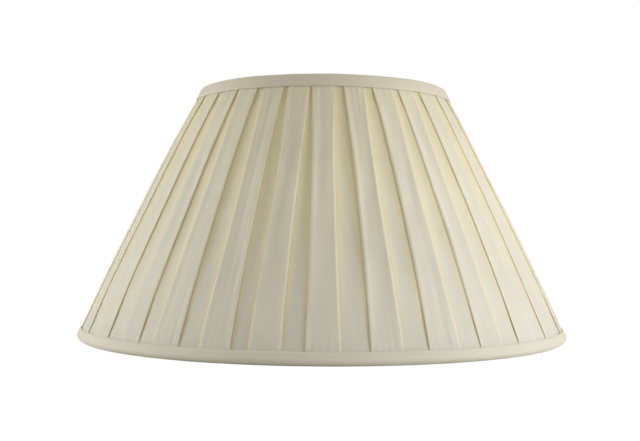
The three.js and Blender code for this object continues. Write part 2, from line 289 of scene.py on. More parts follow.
# ---------------------------------------------------------------------------------------------------------
# The cone that every piece of cloth follows
# ---------------------------------------------------------------------------------------------------------


class Rim(Enum):
    """The shade's two rims, with the way past the wire from each."""

    BOTTOM = -1
    TOP = 1

    @property
    def label(self) -> str:
        """What the rim's pieces are named after."""
        return self.name.lower()


@dataclass(frozen=True)
class ConeWall:
    """The cone through the two ring wires' centres, read from the frame."""

    bottom_radius: float
    bottom_height: float
    top_radius: float
    top_height: float
    wire_radius: float
    tape_radius: float
    rim_radius: float
    shade_height: float
    band_height: float

    @classmethod
    def from_frame(cls) -> "ConeWall":
        """Reads the rings, tapes and bindings of the frame.

        Returns:
            The wall that the frame's solids were built on.
        """
        corner = math.cos(math.pi / CAD_WIRE_SIDES)
        centres = []
        for name in ("bottom_ring_wire", "top_ring_wire"):
            low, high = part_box(name)
            half = (high.z - low.z) / 2
            centres += [high.x - half, (high.z + low.z) / 2]
        tape_low, tape_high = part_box("bottom_ring_tape")
        rim_low, rim_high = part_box("bottom_binding")
        return cls(
            *centres,
            wire_radius=half / corner,
            tape_radius=(tape_high.z - tape_low.z) / 2 / corner,
            rim_radius=rim_high.x,
            shade_height=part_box("top_binding")[1].z,
            band_height=rim_high.z - rim_low.z,
        )

    @property
    def slope(self) -> float:
        """Angle of the wall from upright."""
        return math.atan2(self.bottom_radius - self.top_radius, self.top_height - self.bottom_height)

    @property
    def slant(self) -> float:
        """Length of the wall from wire centre to wire centre."""
        return math.hypot(self.bottom_radius - self.top_radius, self.top_height - self.bottom_height)

    def ring(self, rim: Rim) -> tuple[float, float]:
        """Radius and height of a ring wire's centre."""
        bottom, top = (self.bottom_radius, self.bottom_height), (self.top_radius, self.top_height)
        return bottom if rim is Rim.BOTTOM else top

    def radius(self, along: np.ndarray, out: np.ndarray) -> np.ndarray:
        """Distance from the axis."""
        return self.bottom_radius - along * math.sin(self.slope) + out * math.cos(self.slope)

    def height(self, along: np.ndarray, out: np.ndarray) -> np.ndarray:
        """Height above the surface the shade stands on."""
        return self.bottom_height + along * math.cos(self.slope) + out * math.sin(self.slope)

    def along_at(self, height: float, out: float) -> float:
        """How far up the wall a height is reached."""
        return (height - self.bottom_height - out * math.sin(self.slope)) / math.cos(self.slope)

    def places(self, turn: np.ndarray, along: np.ndarray, out: np.ndarray) -> np.ndarray:
        """Places in space of points on the wall, one per row and column.

        Args:
            turn: angles round the axis.
            along: distances up the wall.
            out: distances off the wall.

        Returns:
            An array with one more axis, for x, y and z.
        """
        radius = self.radius(along, out)
        height = np.broadcast_to(self.height(along, out), np.broadcast(turn, radius).shape)
        return np.stack([radius * np.sin(turn), -radius * np.cos(turn), height], axis=-1)


@dataclass(frozen=True)
class Layers:
    """How far each layer of cloth lies off the wall at the rings."""

    cover_start: float = 2.65 * MM
    cloth: float = 0.2 * MM
    binding_outside: float = 4.05 * MM
    binding_inside: float = 3.65 * MM
    binding_thickness: float = 0.55 * MM
    lining: float = 2.6 * MM


# ---------------------------------------------------------------------------------------------------------
# Finishes
# ---------------------------------------------------------------------------------------------------------


class Recipe:
    """A material's nodes while they are put together."""

    def __init__(self, name: str) -> None:
        """Starts a material that holds only its output.

        Args:
            name: the material's name.
        """
        self.material = bpy.data.materials.new(name)
        self.material.use_nodes = True
        self.tree = self.material.node_tree
        self.tree.nodes.clear()
        self.output = self.tree.nodes.new("ShaderNodeOutputMaterial")

    def node(self, kind: str, inputs: dict | None = None, **settings: object) -> bpy.types.Node:
        """Adds a node.

        Args:
            kind: the node's type, without its ShaderNode prefix.
            inputs: values or output sockets for its inputs, by name or number.
            **settings: values for its own properties.

        Returns:
            The new node.
        """
        made = self.tree.nodes.new("ShaderNode" + kind)
        for key, value in settings.items():
            setattr(made, key, value)
        for key, value in (inputs or {}).items():
            if isinstance(value, Socket):
                self.tree.links.new(value, made.inputs[key])
            else:
                made.inputs[key].default_value = value
        return made

    def math(self, operation: str, a: object, b: object = 0.0) -> Socket:
        """The result of a sum on two numbers or sockets."""
        return self.node("Math", {0: a, 1: b}, operation=operation).outputs[0]

    def noise(self, where: Socket, scale: float, detail: float = 3.0) -> Socket:
        """Noise from 0 to 1 at a scale per metre."""
        made = self.node("TexNoise", {"Vector": where, "Scale": scale, "Detail": detail, "Roughness": 0.55})
        return made.outputs["Fac"]

    def place(self) -> Socket:
        """Where on the object, in its own metres."""
        return self.node("TexCoord").outputs["Object"]

    def between(self, factor: Socket, low: float, high: float) -> Socket:
        """A value that runs from low to high with a factor from 0 to 1."""
        return self.node("MapRange", {"Value": factor, "To Min": low, "To Max": high}).outputs[0]

    def tint(self, factor: Socket, stops: Sequence[tuple[float, Colour]]) -> Socket:
        """A colour ramp.

        Args:
            factor: where on the ramp.
            stops: each stop's place and red, green and blue.

        Returns:
            The ramp's colour.
        """
        ramp = self.node("ValToRGB", {"Fac": factor})
        elements = ramp.color_ramp.elements
        for place, colour in stops[1:-1]:
            elements.new(place).color = (*colour, 1.0)
        elements[0].position, elements[0].color = stops[0][0], (*stops[0][1], 1.0)
        elements[-1].position, elements[-1].color = stops[-1][0], (*stops[-1][1], 1.0)
        return ramp.outputs["Color"]

    def multiply(self, a: Socket, b: Socket) -> Socket:
        """One colour multiplied by another.

        Args:
            a: one colour.
            b: the other.

        Returns:
            The product.
        """
        mixed = self.node("Mix", data_type="RGBA", blend_type="MULTIPLY")
        mixed.inputs["Factor"].default_value = 1.0
        for socket, value in ((mixed.inputs[6], a), (mixed.inputs[7], b)):
            self.tree.links.new(value, socket)
        return mixed.outputs[2]

    def bump(self, height: Socket, strength: float, depth: float) -> Socket:
        """A normal roughened by a height."""
        made = self.node("Bump", {"Strength": strength, "Distance": depth, "Height": height})
        return made.outputs["Normal"]

    def finish(self, shader: bpy.types.Node) -> bpy.types.Material:
        """Connects the last shader and returns the material."""
        self.tree.links.new(shader.outputs[0], self.output.inputs["Surface"])
        return self.material


def shaded(colour: Colour, share: float) -> Colour:
    """A colour made darker or lighter by a share."""
    return tuple(channel * share for channel in colour)


class Grain(Enum):
    """How a cloth's threads lie on its own flat length and width, in degrees."""

    STRAIGHT = 0.0
    BIAS = 45.0


@dataclass(frozen=True)
class Cloth:
    """A fine plain-woven cloth that lets some light through."""

    name: str
    colour: Colour
    through: Colour
    letting_through: float
    sheen: float
    grain: Grain = Grain.STRAIGHT
    thread: float = 0.42 * MM
    roughness: float = 0.7
    on_faces: Colour = (0.955, 0.96, 0.97)  # the tint over the colour where no shade is painted, as on the pleats' faces
    # painted shade: a warm yellow tint deep in the pleats' folds and beside their edges
    painted_fold_shade: Colour = (1.05, 0.98, 0.72)
    # painted shade: the cloth darker towards the top
    painted_top_shade: Colour = (0.90, 0.885, 0.85)
    top_shade_from: float = 120 * MM  # heights between which the painted shade near the top comes in
    top_shade_to: float = 205 * MM
    clouds: float = 22.0  # per metre
    cloudiness: float = 0.56
    slubs: float = 0.22
    stops: tuple[float, float, float] = (0.3, 0.5, 0.7)  # from the dullest thread to the brightest
    shades: tuple[float, float, float] = (0.965, 1.0, 1.03)
    lit_shades: tuple[float, float] = (0.92, 1.05)

    def weave(self, recipe: Recipe) -> tuple[Socket, Socket]:
        """The height of the threads, and how much each thread differs from the next.

        Args:
            recipe: the material being made.

        Returns:
            The threads' height and their unevenness.
        """
        flat = recipe.node("UVMap", uv_map="cloth").outputs["UV"]
        turned = recipe.node("Mapping", {"Vector": flat, "Rotation": (0, 0, math.radians(self.grain.value))})
        split = recipe.node("SeparateXYZ", {"Vector": turned.outputs[0]})
        beats = [
            recipe.math("SINE", recipe.math("MULTIPLY", split.outputs[axis], math.pi / self.thread))
            for axis in (0, 1)
        ]
        threads = recipe.math("MULTIPLY", beats[0], beats[1])
        runs = []
        for stretch in ((1.0, 0.02, 1.0), (0.02, 1.0, 1.0)):
            along_thread = recipe.node("Mapping", {"Vector": turned.outputs[0], "Scale": stretch})
            runs.append(recipe.noise(along_thread.outputs[0], 0.6 / self.thread, 2.0))
        return threads, recipe.math("ADD", runs[0], runs[1])

    def material(self) -> bpy.types.Material:
        """Builds the cloth's material, with shade painted into its folds and towards its top.

        Returns:
            The material.
        """
        recipe = Recipe(self.name)
        threads, runs = self.weave(recipe)
        place = recipe.place()
        cloudy = recipe.math("MULTIPLY", recipe.noise(place, self.clouds), self.cloudiness)
        uneven = recipe.math("ADD", recipe.math("MULTIPLY", runs, self.slubs), cloudy)
        plain = recipe.tint(uneven, [(s, shaded(self.colour, k)) for s, k in zip(self.stops, self.shades)])
        # Painted shade: a warm tint by how much painted shade each point takes, deepest in the folds.
        fold = recipe.node("Attribute", attribute_name="painted_shade_amount").outputs["Fac"]
        colour = recipe.multiply(plain, recipe.tint(fold, ((0.0, self.on_faces), (1.0, self.painted_fold_shade))))
        # Painted shade: the cloth darkens towards the top.
        rise = recipe.node("SeparateXYZ", {"Vector": place}).outputs["Z"]
        climb = recipe.node("MapRange", {"Value": rise, "From Min": self.top_shade_from, "From Max": self.top_shade_to})
        painted_top_shade_tint = recipe.tint(climb.outputs[0], ((0.0, (1, 1, 1)), (1.0, self.painted_top_shade)))
        colour = recipe.multiply(colour, painted_top_shade_tint)
        height = recipe.math("ADD", recipe.math("MULTIPLY", threads, 0.25), runs)
        normal = recipe.bump(height, 0.35, 0.09 * MM)
        front = recipe.node(
            "BsdfPrincipled",
            {
                "Base Color": colour,
                "Roughness": self.roughness,
                "Specular IOR Level": 0.22,
                "Sheen Weight": self.sheen,
                "Sheen Roughness": 0.35,
                "Sheen Tint": (1.0, 0.97, 0.9, 1.0),
                "Normal": normal,
            },
        )
        ends = zip(self.stops[::2], self.lit_shades)
        lit = recipe.tint(uneven, [(stop, shaded(self.through, share)) for stop, share in ends])
        back = recipe.node("BsdfTranslucent", {"Color": lit, "Normal": normal})
        both = {"Fac": self.letting_through, 1: front.outputs[0], 2: back.outputs[0]}
        return recipe.finish(recipe.node("MixShader", both))


@dataclass(frozen=True)
class HardFinish:
    """Metal or plastic: a cloudy colour, an uneven gloss and a fine texture. As set here, a white coat."""

    name: str
    light: Colour
    dark: Colour
    roughness: tuple[float, float]
    texture: float  # per metre
    stops: tuple[float, float] = (0.35, 0.6)  # where in the clouds it is dark, and where light
    clouds: float = 60.0  # per metre
    detail: float = 1.0  # of the texture
    bump: tuple[float, float] = (0.25, 0.05 * MM)  # strength and depth
    inputs: tuple[tuple[str, float], ...] = (("Specular IOR Level", 0.5),)

    def material(self) -> bpy.types.Material:
        """Builds the finish's material.

        Returns:
            The material.
        """
        recipe = Recipe(self.name)
        place = recipe.place()
        cloudy = recipe.noise(place, self.clouds)
        surface = {
            "Base Color": recipe.tint(cloudy, list(zip(self.stops, (self.dark, self.light)))),
            "Roughness": recipe.between(cloudy, *self.roughness),
            "Normal": recipe.bump(recipe.noise(place, self.texture, self.detail), *self.bump),
        }
        return recipe.finish(recipe.node("BsdfPrincipled", {**surface, **dict(self.inputs)}))


class Finishes:
    """The shade's materials, each made once."""

    def __init__(self) -> None:
        """Makes every material."""
        cream, glow = (0.825, 0.817, 0.715), (0.91, 0.84, 0.67)
        ivory, ivory_glow = (0.84, 0.80, 0.66), (0.9, 0.82, 0.62)
        ecru, ecru_glow = (0.72, 0.66, 0.52), (0.7, 0.6, 0.4)
        wire_white, powder_white, plastic_white = (0.74, 0.73, 0.69), (0.79, 0.78, 0.74), (0.80, 0.79, 0.74)
        self.cover = Cloth("pleat_cotton", cream, glow, 0.42, 0.45).material()
        self.binding = Cloth("bias_cotton", (0.645, 0.60, 0.475), glow, 0.12, 0.4, Grain.BIAS).material()
        self.lining = Cloth("lining_cloth", ivory, ivory_glow, 0.45, 0.12, thread=0.3 * MM).material()
        self.tape = Cloth("ring_tape_cotton", ecru, ecru_glow, 0.08, 0.2, thread=0.6 * MM).material()
        self.wire = HardFinish(
            "coated_wire", wire_white, shaded(wire_white, 0.94), (0.35, 0.52), 900.0
        ).material()
        self.gimbal = HardFinish(
            "powder_coat", powder_white, shaded(powder_white, 0.94), (0.39, 0.56), 1500.0
        ).material()
        self.rivet = HardFinish(
            "zinc_plate", (0.66, 0.66, 0.67), (0.5, 0.5, 0.51), (0.26, 0.44), 2600.0,
            stops=(0.3, 0.7), clouds=1400.0, detail=2.0, bump=(0.2, 0.02 * MM), inputs=(("Metallic", 1.0),),
        ).material()
        self.reducer = HardFinish(
            "moulded_white", plastic_white, shaded(plastic_white, 0.96), (0.42, 0.56), 3200.0,
            stops=(0.3, 0.7), clouds=45.0, detail=2.0, bump=(0.3, 0.03 * MM),
            inputs=(("Subsurface Weight", 0.08), ("Subsurface Scale", 0.6 * MM)),
        ).material()


# ---------------------------------------------------------------------------------------------------------
# Cloth
# ---------------------------------------------------------------------------------------------------------


@dataclass(frozen=True)
class Crease:
    """A soft lengthwise fold in a pleat's face."""

    across: float  # where on the face, from -1 at its left edge to 1 at its right
    width: float
    rise: float
    reach: float  # how much of the wall's length it runs down from the end it starts at
    from_top: bool


@dataclass(frozen=True)
class CreaseKind:
    """A kind of crease, and the ranges that its sizes are drawn from."""

    spread: float  # how far from the face's middle it may be
    width: tuple[float, float]
    rise: tuple[float, float]
    reach: tuple[float, float]
    from_top: float  # the share of them that start at the top

    def draw(self, chance: np.random.RandomState) -> Crease:
        """Draws one crease of this kind.

        Args:
            chance: where the numbers are drawn from.

        Returns:
            The crease, standing up or sinking in.
        """
        across = chance.uniform(-self.spread, self.spread)
        width = chance.uniform(*self.width) * MM
        rise = chance.choice([-1, 1]) * chance.uniform(*self.rise) * MM
        return Crease(across, width, rise, chance.uniform(*self.reach), chance.uniform() < self.from_top)


@dataclass(frozen=True)
class Pleat:
    """What makes one pleat differ from the next: turns in radians, lean in metres, the rest as shares."""

    number: int
    foot_turn: float
    head_turn: float
    width: float
    lift: float
    sag: float
    lean: float
    roll: float
    creases: tuple[Crease, ...]


@dataclass(frozen=True)
class Rows:
    """The rows of points up the cover, and how loose the cloth is at each."""

    along: np.ndarray
    share: np.ndarray  # from 0 at the bottom band's edge to 1 at the top band's, and past both
    looseness: np.ndarray

    @property
    def held(self) -> np.ndarray:
        """The share, kept between the bands."""
        return np.clip(self.share, 0, 1)


@dataclass
class PleatedCover:
    """The cover: box pleats pinned flat at both rings and standing off the wall between them."""

    wall: ConeWall
    layers: Layers
    finishes: Finishes
    panels: int = 3
    pleats_per_panel: int = 10
    first_pleat: int = 5  # the first one on panel 1, counted from the front
    cloth_per_pleat: float = 50 * MM
    face_share_foot: float = 0.56  # of a pleat's pitch that its face takes up at the bottom ring
    face_share_waist: float = -0.03  # what that share changes by, half way up
    face_share_head: float = 0.19  # and at the top ring
    face_lift: float = 2.6 * MM
    face_sag: float = 1.15 * MM
    face_sag_share: float = 0.17  # the most a face sags, as a share of half its width
    edge_thickness: float = 0.5 * MM
    shoulder_drop: float = 0.45 * MM
    shoulder_width: float = 1.7 * MM
    edge_roll: float = 0.45 * MM
    lip_close: float = 0.13 * MM
    painted_wedge_foot: float = 3 * MM  # width of the painted shade beside a fold at the bottom ring
    painted_wedge_head: float = 17 * MM  # and at the top ring
    floor_sag: float = 1.9 * MM
    floor_sag_share: float = 0.085  # the most a floor sags, as a share of the gap's width
    floor_ripple: float = 0.12 * MM
    tuck_drop: float = 1.3 * MM
    fold_lift: float = 0.1 * MM
    strut_crown: float = 1.75 * MM
    strut_crown_width: float = 6 * MM
    strut_pitch: float = math.radians(45)
    pucker_height: float = 0.13 * MM
    pucker_pitch: float = 5.2 * MM
    pucker_fade: float = 7 * MM
    pucker_start: float = 1.2 * MM  # from the band's edge to where puckers are full
    pucker_shift: float = 2.4  # radians from one pleat's puckers to the next one's
    follow_foot: float = 0.2  # shares of the wall over which a gap's floor rises to follow the faces
    follow_head: float = 0.1
    painted_fold_shade_strength: float = 0.85  # the strength of the painted shade in a fold at the bottom
    painted_fold_shade_fade: float = 0.1  # and what it loses at the top
    painted_top_shade_strength: float = 0.2  # the painted shade that all the cloth takes at the top
    wave_height: float = 0.2 * MM  # of the uneven hang of each face
    slow_wave_height: float = 0.22 * MM  # of the whole cover
    first_turn: float = math.radians(0.5)
    drift: float = math.radians(5.0)  # how far the pleats creep from an even spacing
    drift_turns: tuple[float, ...] = (0, 60, 303, 360)  # degrees round the shade
    drift_shares: tuple[float, ...] = (0, 0, 1, 0)  # of the creep, at each of those
    sharp_crease: CreaseKind = CreaseKind(0.75, (0.7, 1.3), (0.16, 0.34), (0.12, 0.34), 0.75)
    soft_crease: CreaseKind = CreaseKind(0.5, (1.8, 3.2), (0.12, 0.3), (0.7, 1.4), 0.6)
    soft_crease_share: float = 0.7  # of the pleats that have one
    seed: int = 11
    floor_columns: int = 25
    face_columns: int = 35
    rows_between_bands: int = 92
    rows_under_band: int = 3
    row_bunching: float = 0.65  # how much closer the rows lie near the bindings

    @property
    def pleats(self) -> int:
        """How many pleats go round the shade."""
        return self.panels * self.pleats_per_panel

    def rows(self) -> Rows:
        """Sets out the rows, closer together near the bindings.

        Returns:
            The rows from the bottom wire to the top one.
        """
        outside = self.layers.binding_outside
        start = self.wall.along_at(self.wall.band_height, outside)
        end = self.wall.along_at(self.wall.shade_height - self.wall.band_height, outside)
        even = np.linspace(0, 1, self.rows_between_bands)
        between = start + (even - self.row_bunching * np.sin(FULL_TURN * even) / FULL_TURN) * (end - start)
        below = np.linspace(0, start, self.rows_under_band + 1)[:-1]
        above = np.linspace(end, self.wall.slant, self.rows_under_band + 1)[1:]
        along = np.concatenate([below, between, above])
        share = (along - start) / (end - start)
        held = np.clip(share, 0, 1)
        return Rows(along[:, None], share[:, None], ((4 * held * (1 - held)) ** 0.55)[:, None])

    def habits(self) -> list[Pleat]:
        """Settles how each pleat differs from the others.

        Returns:
            The pleats in order round the shade.
        """
        chance = np.random.RandomState(self.seed)
        made = []
        for number in range(self.pleats):
            creases = [self.sharp_crease.draw(chance) for _ in range(chance.randint(1, 4))]
            if chance.uniform() < self.soft_crease_share:
                creases.append(self.soft_crease.draw(chance))
            made.append(
                Pleat(
                    number,
                    math.radians(chance.normal(0, 0.22)),
                    math.radians(chance.normal(0, 0.8)),
                    1 + chance.normal(0, 0.035),
                    1 + chance.uniform(-0.12, 0.12),
                    1 + chance.uniform(-0.5, 0.4),
                    chance.uniform(-0.3, 0.3) * MM,
                    chance.uniform(0.9, 1.5),
                    tuple(creases),
                )
            )
        return made

    def centre(self, pleat: Pleat, lap: int, rows: Rows) -> np.ndarray:
        """Turn of a pleat's middle at each row.

        Args:
            pleat: the pleat.
            lap: whole turns to add, for a pleat counted past the front.
            rows: the rows.

        Returns:
            One angle a row.
        """
        even = pleat.number * FULL_TURN / self.pleats
        crept = np.interp(math.degrees(even), self.drift_turns, self.drift_shares) * self.drift
        swing = pleat.foot_turn + (pleat.head_turn - pleat.foot_turn) * ease(rows.share)
        return self.first_turn + even + lap * FULL_TURN + crept + swing

    def pitch(self, rows: Rows) -> np.ndarray:
        """Width of one pleat and its gap at each row."""
        return FULL_TURN / self.pleats * self.wall.radius(rows.along, 0)

    def half_width(self, pleat: Pleat, rows: Rows) -> np.ndarray:
        """Half the width of a pleat's face at each row.

        Args:
            pleat: the pleat.
            rows: the rows.

        Returns:
            One length a row.
        """
        waist = self.face_share_waist * np.sin(math.pi * rows.held)
        share = self.face_share_foot + waist + self.face_share_head * rows.held**5
        return self.pitch(rows) * share * pleat.width / 2

    def underfold(self, pleat: Pleat, rows: Rows) -> np.ndarray:
        """How far the cloth is folded under each side of a face."""
        spare = (self.cloth_per_pleat - self.pitch(rows)) / 4
        return np.minimum(spare, self.half_width(pleat, rows) - 0.8 * MM)

    def floor_lift(self, pleat: Pleat, side: int, rows: Rows) -> np.ndarray:
        """How far the cloth beside a pleat's left (-1) or right (1) edge is lifted off the wall with it.

        Args:
            pleat: the pleat.
            side: which of its edges.
            rows: the rows.

        Returns:
            One height a row.
        """
        follow = ease(rows.held / self.follow_foot) * ease((1 - rows.held) / self.follow_head)
        rise = self.face_lift * pleat.lift - self.shoulder_drop - self.edge_thickness + side * pleat.lean
        return rise * rows.looseness * follow

    def gap_sag(self, rows: Rows, gap: np.ndarray) -> np.ndarray:
        """How far a gap's floor sinks in the middle, for a gap of a given width."""
        drawn_in = ease(rows.held / 0.4) ** 0.8 * np.clip((1 - rows.held) / 0.07, 0, 1) ** 0.6
        return np.minimum(self.floor_sag, self.floor_sag_share * gap) * drawn_in

    def face_relief(self, pleat: Pleat, rows: Rows, across: np.ndarray, half: np.ndarray) -> np.ndarray:
        """How the face departs from a flat one: its sag, its shoulders, its creases and its puckers.

        Args:
            pleat: the pleat.
            rows: the rows.
            across: places on the face from -1 to 1.
            half: half the face's width at each row.

        Returns:
            Heights, by row and place.
        """
        free = 1 - across**8
        slack = np.minimum(self.face_sag * pleat.sag, self.face_sag_share * half)
        relief = -slack * rows.looseness * (1 - across**2)
        for crease in pleat.creases:
            near = rows.share if crease.from_top else 1 - rows.share
            fade = ease((near - (1 - crease.reach)) / crease.reach) * ease((1 - near) / 0.03 + 0.25)
            offset = (across - crease.across) * half / crease.width
            relief = relief + crease.rise * fade * np.exp(-offset**2)
        to_band = np.minimum(rows.held, 1 - rows.held) * self.wall.slant
        pucker = np.exp(-to_band / self.pucker_fade) * np.clip(to_band / self.pucker_start, 0, 1)
        wave = np.cos(FULL_TURN * across * half / self.pucker_pitch + pleat.number * self.pucker_shift)
        relief = relief + self.pucker_height * pucker * wave
        hang = Ripple(self.seed + 40 + pleat.number, (20 * MM, 110 * MM)).at(across * half, rows.along)
        inside = (1 - np.abs(across)) * half / np.minimum(self.shoulder_width, 0.6 * half)
        shoulder = self.shoulder_drop * rows.looseness * np.clip(1 - inside, 0, 1) ** 2
        return (relief + self.wave_height * hang * rows.looseness) * free - shoulder

    def unit(self, before: tuple[Pleat, int], this: tuple[Pleat, int], rows: Rows) -> tuple[np.ndarray, ...]:
        """Lays out one gap's floor and the pleat after it, from left to right.

        Args:
            before: the pleat on the gap's left, and its lap.
            this: the pleat on the gap's right, and its lap.
            rows: the rows.

        Returns:
            Turns, outs and how much painted shade each point takes, by row and column.
        """
        # Turns: where the gap, the pleat and the cloth folded under it begin and end.
        pleat = this[0]
        near = self.layers.cover_start
        radius = self.wall.radius(rows.along, near)
        centre = self.centre(*this, rows)
        half = self.half_width(pleat, rows)
        fold = self.underfold(pleat, rows)
        gap_start = self.centre(*before, rows) + self.half_width(before[0], rows) / radius
        gap_end = centre - half / radius
        floor_start = gap_start - self.underfold(before[0], rows) / radius
        floor_end = gap_end + fold / radius

        # Distances off the wall: of the floors beside the pleat, of its face and of the face's edges.
        lift_before, lift_here = self.floor_lift(before[0], 1, rows), self.floor_lift(pleat, -1, rows)
        drop = self.tuck_drop * rows.looseness
        face = near + 2 * self.layers.cloth + self.face_lift * pleat.lift * rows.looseness
        edge = face - self.shoulder_drop * rows.looseness
        lean = pleat.lean * rows.looseness
        thick = self.layers.cloth + self.edge_thickness * rows.looseness
        bend = np.minimum(self.edge_roll * pleat.roll * rows.looseness + self.layers.cloth, half * 0.3)
        turns, outs, folds = [], [], []

        def lay(turn: np.ndarray, out: np.ndarray, folded: float | np.ndarray = 1.0) -> None:
            """Adds columns of points.

            Args:
                turn: their angles.
                out: how far off the wall they are.
                folded: how much painted shade they take.
            """
            turns.append(np.broadcast_to(turn, np.broadcast(turn, out).shape))
            outs.append(np.broadcast_to(out, turns[-1].shape))
            folds.append(np.broadcast_to(folded, turns[-1].shape))

        def roll(side: int, top: np.ndarray, rising: bool) -> None:
            """Turns the cloth round a face's edge.

            Args:
                side: -1 for the left edge, 1 for the right.
                top: how far off the wall the edge stands.
                rising: whether the cloth comes up to the face here.
            """
            swing = np.radians(np.linspace(-90, 90, 8)[1:-1]) * (1 if rising else -1)
            lay(centre + side * (half - bend + bend * np.cos(swing)) / radius,
                top - thick / 2 + thick / 2 * np.sin(swing), 0.0)

        def tuck_out(side: int) -> np.ndarray:
            """How far off the wall the cloth folds back under one side of the face."""
            lift = self.floor_lift(pleat, side, rows)
            return near + lift - np.minimum(drop, lift)

        def tuck(side: int, rising: bool) -> None:
            """Folds the cloth back under the face.

            Args:
                side: -1 for the left side, 1 for the right.
                rising: whether the cloth comes up to the face here.
            """
            tight = (self.layers.cloth + self.fold_lift * rows.looseness) / 2
            swing = np.radians([-45, 0, 45]) * (1 if rising else -1)
            lay(centre + side * (half - fold - tight * np.cos(swing)) / radius,
                tuck_out(side) + tight + tight * np.sin(swing))

        def underlay(side: int, top: np.ndarray, rising: bool) -> None:
            """Runs the cloth under the face, between its fold and the face's edge.

            Args:
                side: -1 for the left side, 1 for the right.
                top: how far off the wall the edge stands.
                rising: whether the cloth comes up to the face here.
            """
            start = tuck_out(side) + self.layers.cloth + self.fold_lift * rows.looseness
            for share in (0.0, 0.35, 0.7, 1.0)[::1 if rising else -1]:
                reach = half - fold * (1 - share) - share * bend
                lay(centre + side * reach / radius, start + (top - thick - start) * share)

        # The gap's floor, with what of it lies beneath the faces on either side.
        across = np.linspace(0, 1, self.floor_columns)
        floor_turn = floor_start + across * (floor_end - floor_start)
        visible = np.clip((floor_turn - gap_start) / (gap_end - gap_start), 0, 1)
        ripple = Ripple(self.seed + 90 + pleat.number, (18 * MM, 90 * MM)).at(across * 20 * MM, rows.along)
        gap = (gap_end - gap_start) * radius
        bowl = 4 * visible * (1 - visible)
        lifted = lift_before + (lift_here - lift_before) * across
        floor = near + lifted - self.gap_sag(rows, gap) * bowl
        beneath = np.clip((gap_start - floor_turn) / (gap_start - floor_start), 0, 1)
        beneath = beneath + np.clip((floor_turn - gap_end) / (floor_end - gap_end), 0, 1)
        floor = floor - np.minimum(drop, lifted) * beneath
        floor = floor + self.lip_close * rows.looseness * (1 - beneath)
        floor = floor + self.floor_ripple * ripple * rows.looseness * bowl
        off_strut = (floor_turn - np.round(floor_turn / self.strut_pitch) * self.strut_pitch) * radius
        from_edge = np.minimum(visible, 1 - visible) * gap
        crown = self.strut_crown - off_strut**2 / self.strut_crown_width
        # Painted shade on the floor: full beside each face's edge, fading out over the wedge's width.
        wedge = self.painted_wedge_foot + (self.painted_wedge_head - self.painted_wedge_foot) * rows.held
        lay(floor_turn, np.maximum(floor, crown), 1 - ease(from_edge / wedge))
        tuck(-1, True)
        underlay(-1, edge - lean, True)
        roll(-1, edge - lean, True)
        face_across = np.sin(np.linspace(-math.pi / 2, math.pi / 2, self.face_columns))
        lay(centre + face_across * (half - bend) / radius,
            face + lean * face_across + self.face_relief(pleat, rows, face_across, half), 0.0)
        roll(1, edge + lean, False)
        underlay(1, edge + lean, False)
        tuck(1, False)
        return np.hstack(turns), np.hstack(outs), np.hstack(folds)

    def build(self) -> list[Obj]:
        """Builds the panels and puts them in the solids' place.

        Returns:
            The panels.
        """
        rows = self.rows()
        pleats = self.habits()

        def counted(index: int) -> tuple[Pleat, int]:
            """The pleat that a count round the shade comes to, and its lap."""
            return pleats[index % self.pleats], index // self.pleats

        made = []
        for panel in range(self.panels):
            first = self.first_pleat + panel * self.pleats_per_panel
            counts = range(first, first + self.pleats_per_panel)
            units = [self.unit(counted(k - 1), counted(k), rows) for k in counts]
            turn, out, folded = (np.hstack(parts) for parts in zip(*units))
            slow = Ripple(self.seed + 5, (0.12, 0.2)).at(turn * RIPPLE_RADIUS, rows.along)
            out = out + self.slow_wave_height * slow * rows.looseness
            along = np.broadcast_to(rows.along, turn.shape)
            points = self.wall.places(turn, along, out)
            steps = np.linalg.norm(np.diff(points, axis=1), axis=2)
            width = np.concatenate([np.zeros((len(points), 1)), np.cumsum(steps, axis=1)], axis=1)
            name = f"pleated_cloth_{panel + 1}"
            # Painted shade: the folds' shade, weak at the bottom band and a little weaker towards the top,
            # plus a shade all the cloth takes towards the top.
            painted_shade_mask = folded * ease(0.3 + rows.share / 0.15)
            depth = painted_shade_mask * (self.painted_fold_shade_strength - self.painted_fold_shade_fade * rows.held) + self.painted_top_shade_strength * rows.held
            cloth = woven_grid(name, points, np.stack([width, along], axis=-1), depth=depth)
            dress(cloth, self.finishes.cover, f"pleated_cover_panel_{panel + 1}")
            LOG.info("%s: %d pleats from %.0f mm of cloth", name, self.pleats_per_panel, width[0, -1] / MM)
            made.append(cloth)
        return made


